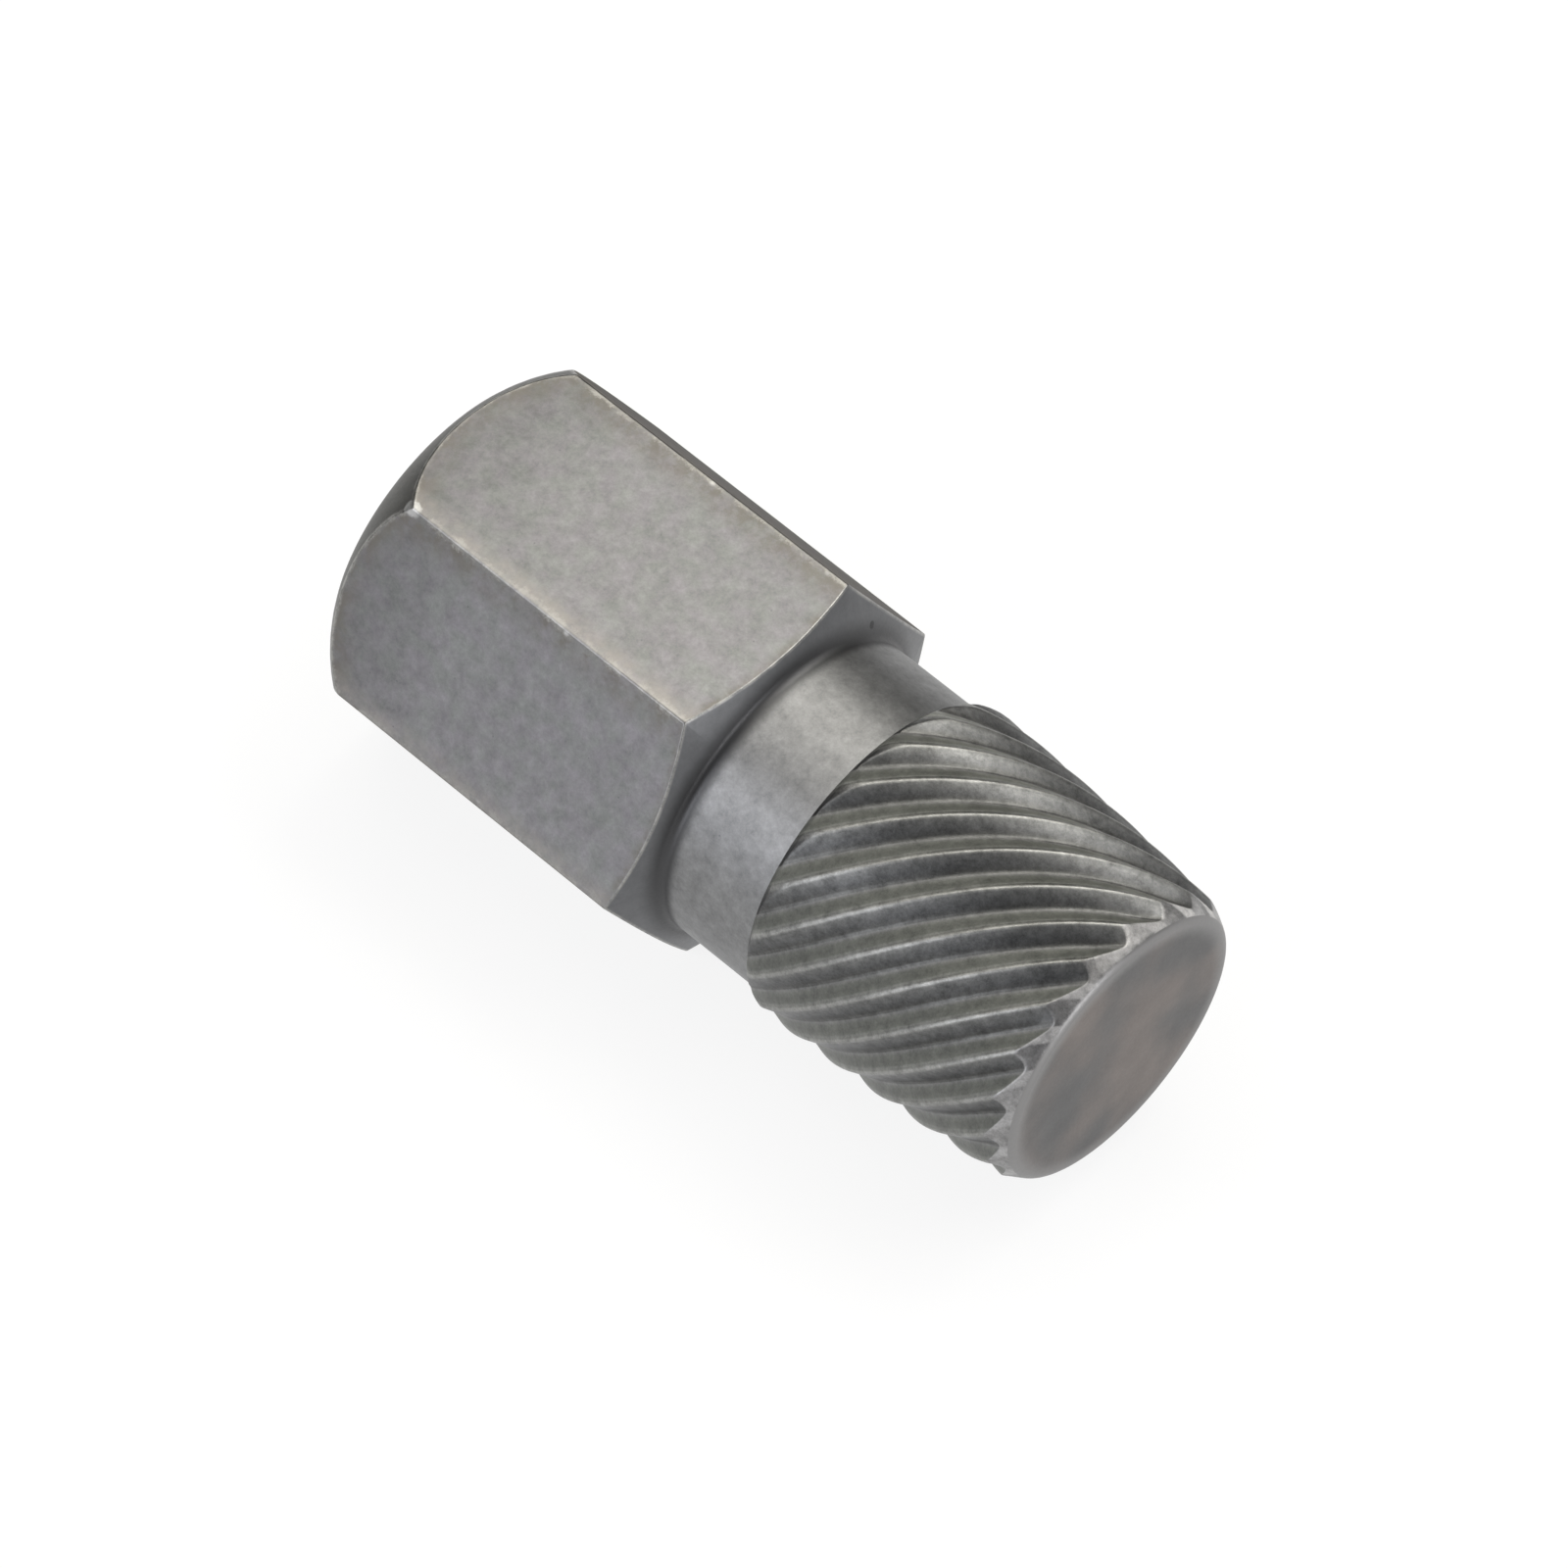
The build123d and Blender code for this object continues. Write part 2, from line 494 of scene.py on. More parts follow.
def ridge_columns():
    """Places across one ridge, from groove to groove, with the crest at 0."""
    return [-place for place in reversed(HALF_RIDGE)] + [0.0] + list(HALF_RIDGE)


def ridge_angle(shape):
    """Angle from one ridge to the next."""
    return 2 * pi / shape.ridge_count


def ridge_twist(shape):
    """Left-handed turn of the ridges for each length along the tool."""
    return -2 * pi / shape.ridge_lead


def first_crest(shape, x):
    """Angle of the first ridge at x."""
    return shape.ridge_phase + ridge_twist(shape) * (x - shape.ridge_start)


def soft_min(a, b, blend):
    """The lower of two heights, with the corner between them rounded."""
    nearness = max(blend - abs(a - b), 0.0) / blend
    return min(a, b) - nearness * nearness * blend / 4


def tapered(shape, x, at_neck, at_tip):
    """A size that changes evenly along the ridges, and how far along them x is, from 0 to 1."""
    along = (x - shape.ridge_start) / (shape.overall_length - shape.ridge_start)
    return at_neck + (at_tip - at_neck) * along, along


def crest_radius(shape, x):
    """Radius of the ridge tops."""
    taper, along = tapered(shape, x, shape.crest_radius_neck_end, shape.crest_radius_tip_end)
    return taper + 4 * shape.crest_bulge * along * (1 - along)


def groove_depth(shape, x):
    """Depth of the grooves below the ridge tops, shallower where they run out at the tip."""
    depth, along = tapered(shape, x, shape.groove_depth_neck_end, shape.groove_depth_tip_end)
    run_out = max(1 - (shape.overall_length - x) / RUN_OUT_LENGTH, 0.0)
    return depth * (1 - RUN_OUT_SHARE * run_out * run_out)


def ridge_height(shape, x, place):
    """Radius of the ridged surface, before the ends are turned."""
    crest = crest_radius(shape, x)
    pitch = 2 * pi * crest / shape.ridge_count
    floor_edge = pitch / 2 - GROOVE_FLOOR / 2
    flank = (floor_edge - abs(place) * pitch) / (floor_edge - CREST_LAND / 2)
    height = soft_min(1.0, flank, CREST_BLEND)
    height = -soft_min(0.0, -height, GROOVE_BLEND)
    return crest - groove_depth(shape, x) * (1 - height)


def run_in_radius(shape, x):
    """Radius of the step and the run-in at the neck end, and past them above the crests."""
    foot = shape.ridge_start
    step_end = foot + STEP_HEIGHT / tan(STEP_ANGLE)
    top = foot + RUN_IN_LENGTH
    if x <= foot:
        return shape.neck_radius
    if x <= step_end:
        return shape.neck_radius + (x - foot) * tan(STEP_ANGLE)
    if x >= top:
        return crest_radius(shape, top) + 2 * shape.crest_bulge
    low = shape.neck_radius + STEP_HEIGHT
    high = crest_radius(shape, top)
    # A circle through the step's top, tangent to the exit slope at the run-in's top.
    run, rise = top - step_end, high - low
    chord = sqrt(run ** 2 + rise ** 2)
    half_turn = atan2(rise, run) - RUN_IN_EXIT
    radius = chord / (2 * sin(half_turn))
    centre_x = top + radius * sin(RUN_IN_EXIT)
    centre_r = high - radius * cos(RUN_IN_EXIT)
    return centre_r + sqrt(radius ** 2 - (x - centre_x) ** 2)


def tip_radius(shape, x):
    """Radius of the tip chamfer and its rounded rim."""
    angle = shape.tip_chamfer_angle
    reach = shape.tip_rim_radius * tan((radians(90) - angle) / 2)
    rim_start = shape.overall_length - reach * cos(angle)
    if x <= rim_start:
        return shape.tip_face_radius + (shape.overall_length - x) * tan(angle)
    centre_x = shape.overall_length - shape.tip_rim_radius
    centre_r = shape.tip_face_radius - reach
    beyond = min(x - centre_x, shape.tip_rim_radius)
    return centre_r + sqrt(shape.tip_rim_radius ** 2 - beyond ** 2)


def ridged_radius(shape, x, place):
    """Radius of the finished ridged end."""
    radius = shape.neck_radius
    if x > shape.ridge_start:
        radius = soft_min(ridge_height(shape, x, place), run_in_radius(shape, x), EDGE_BLEND)
    return soft_min(radius, tip_radius(shape, x), EDGE_BLEND)


def ridge_stations(shape):
    """Places along the tool of the rings of the ridged end."""
    foot = shape.ridge_start
    end = shape.overall_length
    rim_radius = shape.tip_rim_radius
    fine_end = foot + FINE_RUN_IN
    tip_start = end - FINE_TIP
    rim_start = end - rim_radius * (1 - cos(radians(RIM_TURN)))
    rim_turns = spaced(90 - RIM_TURN, 90, RIM_RINGS)
    return [
        *(foot - before for before in NECK_RINGS), foot,
        *spaced(foot, fine_end, RUN_IN_RINGS),
        *spaced(fine_end, tip_start, BARREL_RINGS),
        *spaced(tip_start, rim_start, CHAMFER_RINGS),
        *(end - rim_radius * (1 - sin(radians(turn))) for turn in rim_turns),
    ]


def first_ring(shape, x):
    """The first ring of one ridge: points round the neck at x, spread as its columns are."""
    columns = ridge_columns()
    steps = len(columns) - 1
    spacing = ridge_angle(shape) / steps
    strip = lay_primitive(
        bpy.ops.mesh.primitive_circle_add, x,
        vertices=steps * shape.ridge_count, radius=shape.neck_radius, fill_type="NOTHING")
    open_mesh(strip, "VERT")
    pick(strip, "verts", lambda v: not -spacing / 2 < angle_round(v.co) < (steps + 0.5) * spacing)
    bpy.ops.mesh.delete(type="VERT")
    # The even spacing becomes the ridge's own: close at crest and groove, wide on the flanks.
    for number, place in enumerate(columns):
        even = number * spacing
        pick(strip, "verts", lambda v: abs(angle_round(v.co) - even) < spacing / 4)
        turn_section((place + SPREAD_ROOM) * ridge_angle(shape) - even, x)
    bpy.ops.mesh.select_all(action="SELECT")
    turn_section(first_crest(shape, x) - SPREAD_ROOM * ridge_angle(shape), x)
    return strip


def ridge_strip(shape):
    """One ridge from groove to groove, drawn along its left-hand spiral ring by ring."""
    columns = ridge_columns()
    x, *stations = ridge_stations(shape)
    strip = first_ring(shape, x)
    radii = [shape.neck_radius] * len(columns)
    for next_x in stations:
        extrude_by(next_x - x)
        turn_section(ridge_twist(shape) * (next_x - x), next_x)
        x = next_x
        mesh = bmesh.from_edit_mesh(strip.data)
        crest = first_crest(shape, x)
        ring = sorted(
            (v for v in mesh.verts if v.select),
            key=lambda v: (angle_round(v.co) - crest + pi) % (2 * pi))
        for number, point in enumerate(ring):
            radius = ridged_radius(shape, x, columns[number])
            if abs(radius - radii[number]) < RADIUS_STEP:
                continue
            for other in ring:
                other.select_set(other is point)
            scale_section(radius / radii[number], x)
            radii[number] = radius
        for point in ring:
            point.select_set(True)
        mesh.select_flush_mode()
        bmesh.update_edit_mesh(strip.data, loop_triangles=False, destructive=False)
    close_mesh()
    return strip


def ridged_end(shape):
    """All the ridges: one strip copied round the tool, joined, with its tip face."""
    strip = ridge_strip(shape)
    open_mesh(strip, "VERT")
    bpy.ops.mesh.select_all(action="SELECT")
    bpy.ops.mesh.spin(
        steps=shape.ridge_count - 1, dupli=True,
        angle=2 * pi * (shape.ridge_count - 1) / shape.ridge_count,
        center=(0, 0, 0), axis=(1, 0, 0))
    bpy.ops.mesh.select_all(action="SELECT")
    bpy.ops.mesh.remove_doubles(threshold=STRIP_CLEANING)
    tip = shape.overall_length - SAME_PLACE
    pick(strip, "verts", lambda v: v.co.x > tip)
    bpy.ops.mesh.edge_face_add()
    close_mesh()
    return strip


def join_at_neck(body, end, shape):
    """Joins the ridged end to the neck's last ring."""
    seam = shape.ridge_start - NECK_SEAM

    def neck_cap(face):
        return abs(face.calc_center_median().x - seam) < SAME_PLACE and abs(face.normal.x) > 0.9

    open_mesh(body, "FACE")
    pick(body, "faces", neck_cap)
    bpy.ops.mesh.delete(type="ONLY_FACE")
    close_mesh()
    select_only(body, end)
    bpy.ops.object.join()
    open_mesh(body, "EDGE")
    bpy.ops.mesh.select_non_manifold(extend=False)
    bpy.ops.mesh.bridge_edge_loops()
    close_shell()


def check_closed(obj):
    """Stops if the mesh has a hole, a loose edge or an inside-out shell."""
    mesh = bmesh.new()
    mesh.from_mesh(obj.data)
    open_edges = sum(not edge.is_manifold for edge in mesh.edges)
    volume = mesh.calc_volume(signed=True) / MM ** 3
    mesh.free()
    if open_edges or volume <= 0:
        raise RuntimeError(f"{obj.name} has {open_edges} open edges and {volume:.1f} cubic mm")


def model_extractor(shape):
    """The whole tool as one closed mesh."""
    around = shape.ridge_count * (len(ridge_columns()) - 1)
    tool = shank(shape, around)
    soften_turned_edges(tool, shape)
    join_at_neck(tool, ridged_end(shape), shape)
    check_closed(tool)
    tool.name = "extractor"
    tool.data.name = "extractor"
    select_only(tool)
    bpy.ops.object.shade_smooth_by_angle(angle=SMOOTH_ANGLE)
    weights = tool.modifiers.new("Flat faces lead", "WEIGHTED_NORMAL")
    weights.keep_sharp = True
    weights.weight = 100
    apply_modifier(tool, weights)
    return tool


# Shader nodes and the effects that the finishes share

class NodeSheet:
    """Adds linked shader nodes to one node tree."""

    def __init__(self, tree):
        self.tree = tree

    def node(self, kind, inputs=None, **settings):
        """A node with its settings, and its inputs set to values or linked to outputs."""
        made = self.tree.nodes.new(kind)
        for key, value in settings.items():
            setattr(made, key, value)
        for key, value in (inputs or {}).items():
            self.wire(value, made.inputs[key])
        return made

    def wire(self, value, socket):
        """Sets an input to a value, or links it to an output."""
        if isinstance(value, bpy.types.NodeSocket):
            self.tree.links.new(value, socket)
        else:
            socket.default_value = value

    def math(self, operation, *values):
        """The result of a math node."""
        return self.node("ShaderNodeMath", dict(enumerate(values)), operation=operation).outputs[0]

    def times(self, first, second):
        """Two numbers multiplied."""
        return self.math("MULTIPLY", first, second)

    def line(self, value, slope, start):
        """A number multiplied and then added to."""
        return self.math("MULTIPLY_ADD", value, slope, start)

    def ramp(self, value, low, high, to_low=0.0, to_high=1.0):
        """value taken from low..high to to_low..to_high, smoothly and clamped."""
        inputs = {
            "Value": value, "From Min": low, "From Max": high, "To Min": to_low, "To Max": to_high}
        return self.node("ShaderNodeMapRange", inputs, interpolation_type="SMOOTHSTEP").outputs[0]

    def blend(self, factor, first, second, mode="MIX"):
        """Two colours mixed by a factor, each an output or three numbers."""
        first, second = (
            color if isinstance(color, bpy.types.NodeSocket) else (*color, 1)
            for color in (first, second))
        inputs = {0: factor, 6: first, 7: second}
        return self.node("ShaderNodeMix", inputs, data_type="RGBA", blend_type=mode).outputs[2]

    def shade(self, color, amount):
        """A colour multiplied by a number."""
        gray = self.node("ShaderNodeCombineColor", {0: amount, 1: amount, 2: amount}).outputs[0]
        return self.blend(1.0, color, gray, "MULTIPLY")

    def parts(self, point):
        """The x, y and z of a point."""
        return self.node("ShaderNodeSeparateXYZ", {"Vector": point}).outputs

    def length(self, vector):
        """The length of a vector."""
        return self.node("ShaderNodeVectorMath", {0: vector}, operation="LENGTH").outputs["Value"]

    def off_axis(self, y, z):
        """Distance from the tool's axis."""
        return self.length(self.node("ShaderNodeCombineXYZ", {"Y": y, "Z": z}).outputs[0])

    def effect(self, name, point, **values):
        """The outputs of a shared effect at a point, with its own values."""
        inputs = {"Vector": point, **values}
        return self.node("ShaderNodeGroup", inputs, node_tree=bpy.data.node_groups[name]).outputs


def shader_group(name, values, outputs):
    """An empty shader node group that takes a point and some values: its sheet and its inputs."""
    tree = bpy.data.node_groups.new(name, "ShaderNodeTree")
    tree.interface.new_socket("Vector", in_out="INPUT", socket_type="NodeSocketVector")
    for key, default in values.items():
        socket = tree.interface.new_socket(key, in_out="INPUT", socket_type="NodeSocketFloat")
        socket.default_value = default
    for key in outputs:
        tree.interface.new_socket(key, in_out="OUTPUT", socket_type="NodeSocketFloat")
    sheet = NodeSheet(tree)
    return sheet, sheet.node("NodeGroupInput").outputs


def mottle_group():
    """Cloudy mottling over several octaves, with a mean of one half."""
    sheet, given = shader_group("steel_mottle", {"Size": 0.5, "Coarseness": 0.7}, ["Value"])
    noise = sheet.node("ShaderNodeTexNoise", {
        "Vector": given["Vector"], "Scale": sheet.math("DIVIDE", 1.0, given["Size"]),
        "Detail": 4.0, "Roughness": given["Coarseness"]})
    sheet.node("NodeGroupOutput", {"Value": noise.outputs["Fac"]})


def speck_group():
    """Scattered round specks: 1 inside a speck and 0 elsewhere."""
    sheet, given = shader_group(
        "steel_specks", {"Spacing": 0.5, "Radius": 0.1, "Share": 0.3}, ["Mask"])
    scale = sheet.math("DIVIDE", 1.0, given["Spacing"])
    cells = sheet.node("ShaderNodeTexVoronoi", {"Vector": given["Vector"], "Scale": scale}).outputs
    reach = sheet.math("DIVIDE", given["Radius"], given["Spacing"])
    inside = sheet.ramp(cells["Distance"], reach, 0.0)
    draw = sheet.node("ShaderNodeSeparateColor", {"Color": cells["Color"]}).outputs[0]
    kept = sheet.math("LESS_THAN", draw, given["Share"])
    sheet.node("NodeGroupOutput", {"Mask": sheet.times(inside, kept)})


def wear_and_crease_shade_group(shape):
    """Distances to the long edges, the turned edges and the crease, and the side of a flat."""
    sheet, given = shader_group("edge_wear", {}, ["Long Edges", "Turned Edges", "Side", "Crease"])
    x, y, z = sheet.parts(given["Vector"])
    radius = sheet.off_axis(y, z)
    # How far out the point stands towards each pair of flats, the two furthest of them taken.
    side = sheet.times(y, sin(radians(60)))
    half = sheet.times(z, cos(radians(60)))
    first, second, third = (
        sheet.math("ABSOLUTE", out)
        for out in (z, sheet.math("ADD", side, half), sheet.math("SUBTRACT", side, half)))
    higher = sheet.math("MAXIMUM", first, second)
    lower = sheet.math("MINIMUM", first, second)
    furthest = sheet.math("MAXIMUM", higher, third)
    next_furthest = sheet.math("MAXIMUM", lower, sheet.math("MINIMUM", higher, third))
    half_width = shape.across_flats / MM / 2
    from_flat = sheet.math("SUBTRACT", half_width, furthest)
    from_next = sheet.math("SUBTRACT", half_width, next_furthest)
    # The turned surfaces: the crowned chamfer as a parabola, and the shoulder cone.
    face, length = shape.drive_face_radius / MM, shape.drive_chamfer_length / MM
    rise = corner_radius(shape) / MM - face
    bulge = 4 * shape.drive_chamfer_crown / MM * sqrt(length ** 2 + rise ** 2) / length
    along = sheet.math("DIVIDE", x, length)
    left = sheet.math("MAXIMUM", sheet.math("SUBTRACT", 1.0, along), 0.0)
    crown = sheet.line(sheet.times(along, left), bulge, sheet.line(along, rise, face))
    slope = 1 / tan(shape.shoulder_angle)
    cone = sheet.line(x, -slope, shape.neck_radius / MM + slope * shape.hex_length / MM)
    from_turned = sheet.math("SUBTRACT", sheet.math("MINIMUM", crown, cone), radius)
    # Across a flat, from its clockwise edge at 0 to the other at 1.
    turns = sheet.times(sheet.math("ARCTAN2", z, y), 6 / (2 * pi))
    flat_side = sheet.math("FRACT", sheet.math("ADD", turns, 6.0))
    away = sheet.math("SUBTRACT", x, shape.hex_length / MM)
    above = sheet.math("SUBTRACT", radius, shape.neck_radius / MM)
    squares = sheet.math("ADD", sheet.times(away, away), sheet.times(above, above))
    sheet.node("NodeGroupOutput", {
        "Long Edges": sheet.math("MAXIMUM", from_flat, from_next),
        "Turned Edges": sheet.math("MAXIMUM", from_flat, from_turned),
        "Side": flat_side, "Crease": sheet.math("SQRT", squares)})


def ridge_place_group(shape):
    """Where a point lies across the spiral ridges: one half on a crest, 0 and 1 in the grooves."""
    sheet, given = shader_group("ridge_places", {}, ["Place"])
    x, y, z = sheet.parts(given["Vector"])
    along = sheet.math("SUBTRACT", x, shape.ridge_start / MM)
    unwound = sheet.line(along, 2 * pi / (shape.ridge_lead / MM), sheet.math("ARCTAN2", z, y))
    from_first = sheet.math("SUBTRACT", unwound, shape.ridge_phase)
    ridges = sheet.times(from_first, shape.ridge_count / (2 * pi))
    place = sheet.math("FRACT", sheet.math("ADD", ridges, shape.ridge_count + 0.5))
    sheet.node("NodeGroupOutput", {"Place": place})


# Finishes, with every size and width in millimetres

GRAIN_SIZE = 0.12
GRAIN_DEPTH = 0.004
RIDGE_GRAIN_DEPTH = 0.006
ROUGHNESS_SWING = 0.2
RUBBED_SHINE = 0.08          # how much smoother rubbed steel is

FLAT_SPECULAR = (0.30, 0.28, 0.26, 1)
FLAT_PIT_TINT = (0.05, 0.05, 0.05)
NECK_PIT_TINT = (0.06, 0.06, 0.06)
DARK_MARK_TINT = (0.03, 0.03, 0.03)

# A bright burr where the drive chamfer meets one long edge. Its size is along and across the tool.
BURR_PLACE = (1.72, -3.66, 6.30)
BURR_SIZE = (0.40, 0.26)
# A short dark mark in the shoulder cone.
DARK_MARK_PLACE = (14.25, 4.12, 4.32)
DARK_MARK_SIZE = (0.40, 0.14)

# Tone across a ridge, from one groove over the crest to the next: place and linear colour.
# The dark tones on the flanks and in the grooves are partly the steel's dark skin and partly
# painted shade.
RIDGE_TONES = (
    (0.00, (0.112, 0.112, 0.110)),
    (0.05, (0.116, 0.116, 0.111)),
    (0.12, (0.092, 0.095, 0.084)),
    (0.23, (0.074, 0.076, 0.067)),
    (0.33, (0.086, 0.089, 0.078)),
    (0.41, (0.172, 0.174, 0.162)),
    (0.455, (0.262, 0.262, 0.250)),
    (0.52, (0.240, 0.240, 0.232)),
    (0.575, (0.145, 0.146, 0.144)),
    (0.68, (0.113, 0.114, 0.114)),
    (0.80, (0.090, 0.091, 0.092)),
    (0.92, (0.079, 0.079, 0.077)),
    (0.955, (0.098, 0.098, 0.096)),
)
DULL_SHARE = 0.85            # how much of their metal look the dull flanks lose


def toned(tint, tone):
    """A tint made lighter or darker."""
    return [value * tone for value in tint]


class SteelSurface(NodeSheet):
    """One finish of the tool: its material, and the patterns and marks that it may have."""

    def __init__(self, name, looks):
        self.material = bpy.data.materials.new(name)
        self.material.use_nodes = True
        super().__init__(self.material.node_tree)
        self.looks = looks
        self.shader = self.tree.nodes["Principled BSDF"]
        self.shader.inputs["Metallic"].default_value = 1.0
        metres = self.node("ShaderNodeTexCoord").outputs["Object"]
        self.point = self.node(
            "ShaderNodeMapping", {"Vector": metres, "Scale": (1 / MM, 1 / MM, 1 / MM)}).outputs[0]

    def moved(self, offset):
        """The point moved, so that two patterns don't fall together."""
        return self.node("ShaderNodeMapping", {"Vector": self.point, "Location": offset}).outputs[0]

    def mottle(self, size, coarseness=0.75, offset=(0, 0, 0)):
        """Cloudy mottling."""
        point = self.moved(offset)
        return self.effect("steel_mottle", point, Size=size, Coarseness=coarseness)["Value"]

    def specks(self, spacing, radius, share, offset=(0, 0, 0)):
        """Scattered specks, in a share of the places where they may be."""
        values = {"Spacing": spacing, "Radius": radius, "Share": share}
        return self.effect("steel_specks", self.moved(offset), **values)["Mask"]

    def edges(self):
        """Distances to the tool's edges."""
        return self.effect("edge_wear", self.point)

    def spot(self, place, size):
        """One ragged spot: 1 inside and 0 outside."""
        along, across = size
        away = self.node("ShaderNodeMapping", {
            "Vector": self.moved([-value for value in place]),
            "Scale": (1 / along, 1 / across, 1 / across)}).outputs[0]
        ragged = self.line(self.mottle(0.25, 0.6, (8.0, 8.0, 1.0)), 1.2, self.length(away))
        return self.ramp(ragged, 1.75, 1.35)

    def swing(self, value, amount):
        """A number round 1, from a mottling round one half."""
        return self.line(value, amount, 1 - amount / 2)

    def mottled(self, first, second, patch_size, tone):
        """Two tints in soft patches, under a finer mottling of light and dark."""
        patches = self.ramp(self.mottle(patch_size, 0.6, (3.1, 7.7, 1.3)), 0.3, 0.7)
        color = self.blend(patches, first, second)
        return self.shade(color, self.swing(self.mottle(0.6, 0.85), tone))

    def burred(self, color):
        """The colour with the bright burr laid over it."""
        burr = self.times(self.spot(BURR_PLACE, BURR_SIZE), 0.55)
        return self.blend(burr, color, self.looks.nick_tint)

    def finish(self, color, rubbed=None, depth=GRAIN_DEPTH):
        """Wires the colour, and the grain that roughens and embosses every surface."""
        grain = self.mottle(GRAIN_SIZE, 0.7, (2.0, 2.0, 2.0))
        roughness = self.line(grain, ROUGHNESS_SWING, self.looks.roughness - ROUGHNESS_SWING / 2)
        if rubbed is not None:
            roughness = self.line(rubbed, -RUBBED_SHINE, roughness)
        bump = self.node(
            "ShaderNodeBump", {"Height": grain, "Strength": 1.0, "Distance": depth * MM})
        self.wire(color, self.shader.inputs["Base Color"])
        self.wire(roughness, self.shader.inputs["Roughness"])
        self.wire(bump.outputs["Normal"], self.shader.inputs["Normal"])
        return self.material


def flat_steel(looks):
    """The hexagon's flats: fine matt grain, rubbed and stained long edges, and bright nicks."""
    steel = SteelSurface("flat_steel", looks)
    steel.shader.inputs["Specular Tint"].default_value = FLAT_SPECULAR
    color = steel.mottled(looks.cool_tint, looks.warm_tint, 0.75, 1.05)
    # The flats grow a little darker towards the drive end.
    x = steel.parts(steel.point)["X"]
    color = steel.shade(color, steel.ramp(x, 1.2, 5.2, 0.83, 1.0))
    # Distances from the edges, made ragged.
    edges = steel.edges()
    waves = steel.math("SUBTRACT", steel.mottle(0.3, 0.9, (9.0, 2.0, 4.0)), 0.5)
    from_long = steel.line(waves, 0.7, edges["Long Edges"])
    from_turned = steel.line(waves, 0.3, edges["Turned Edges"])
    patches = steel.ramp(steel.mottle(0.7, 0.7, (1.0, 5.0, 8.0)), 0.40, 0.62)
    # One long edge of each flat is stained, and the other rubbed to a pale band.
    upper = steel.ramp(edges["Side"], 0.45, 0.55)
    stain = steel.times(steel.ramp(from_long, 1.2, 0.1), steel.math("SUBTRACT", 1.0, upper))
    stain = steel.math("MAXIMUM", stain, steel.ramp(from_turned, 0.9, 0.0))
    stain = steel.times(stain, steel.line(patches, 0.65, 0.25))
    color = steel.blend(stain, color, looks.stain_tint)
    pale = steel.times(upper, steel.line(patches, 0.6, 0.4))
    pale = steel.times(steel.ramp(from_long, 0.85, 0.05), pale)
    color = steel.blend(steel.times(pale, 0.9), color, looks.pale_tint)
    rubbed = steel.math(
        "MAXIMUM", steel.ramp(from_long, 0.22, 0.04), steel.ramp(from_turned, 0.13, 0.0))
    worn = steel.times(rubbed, steel.line(patches, 0.7, 0.15))
    color = steel.blend(worn, color, looks.worn_tint)
    pits = steel.times(steel.specks(0.5, 0.05, 0.35, (4.0, 1.0, 6.0)), 0.45)
    color = steel.blend(pits, color, FLAT_PIT_TINT)
    nicks = steel.times(steel.specks(0.7, 0.18, 0.5), steel.ramp(edges["Long Edges"], 0.24, 0.06))
    color = steel.blend(nicks, color, looks.nick_tint)
    return steel.finish(steel.burred(color), rubbed)


def turned_steel(looks, shape):
    """The drive chamfer and the shoulder cone: darker, with a rubbed line along the flats and
    painted shade at the crease.
    """
    steel = SteelSurface("turned_steel", looks)
    edges = steel.edges()
    chamfer = steel.mottled(looks.turned_tint, toned(looks.turned_tint, 0.94), 0.9, 0.8)
    shoulder = steel.blend(
        steel.mottle(0.7, 0.8, (5.0, 5.0, 2.0)),
        toned(looks.shoulder_tint, 0.75), toned(looks.shoulder_tint, 1.25))
    x = steel.parts(steel.point)["X"]
    past_middle = steel.math("GREATER_THAN", x, shape.hex_length / MM / 2)
    color = steel.blend(past_middle, chamfer, shoulder)
    # Painted shade darkens the shoulder next to its crease with the neck.
    color = steel.blend(steel.ramp(edges["Crease"], 0.85, 0.10), color, looks.crease_shade_tint)
    dark_mark = steel.times(steel.spot(DARK_MARK_PLACE, DARK_MARK_SIZE), 0.7)
    color = steel.blend(dark_mark, color, DARK_MARK_TINT)
    rubbed = steel.ramp(edges["Turned Edges"], 0.12, 0.02)
    worn = steel.ramp(steel.mottle(0.6, 0.8, (1.0, 5.0, 8.0)), 0.38, 0.6, 0.35, 1.0)
    color = steel.blend(steel.times(rubbed, worn), color, looks.worn_tint)
    return steel.finish(steel.burred(color), rubbed)


def neck_steel(looks):
    """The round neck: mottled, with a few pits and painted shade in the crease at the shoulder."""
    steel = SteelSurface("neck_steel", looks)
    color = steel.mottled(looks.neck_tint, toned(looks.neck_tint, 0.97), 0.9, 1.2)
    pits = steel.times(steel.specks(0.9, 0.06, 0.3, (4.0, 1.0, 6.0)), 0.5)
    color = steel.blend(pits, color, NECK_PIT_TINT)
    # Painted shade darkens the neck next to its crease with the shoulder.
    color = steel.blend(steel.ramp(steel.edges()["Crease"], 0.6, 0.15), color, looks.crease_shade_tint)
    return steel.finish(color)


def tip_steel(looks, shape):
    """The tip face: brownish clouds, with a paler rounded rim."""
    steel = SteelSurface("tip_steel", looks)
    x, y, z = steel.parts(steel.point)
    patches = steel.ramp(steel.mottle(3.2, 0.35, (3.1, 7.7, 1.3)), 0.36, 0.66)
    color = steel.blend(patches, looks.tip_tint, looks.tip_cloud_tint)
    color = steel.shade(color, steel.swing(steel.mottle(1.0, 0.6), 0.45))
    rim = shape.tip_face_radius / MM
    color = steel.blend(steel.ramp(steel.off_axis(y, z), rim - 0.8, rim), color, looks.rim_tint)
    return steel.finish(color)


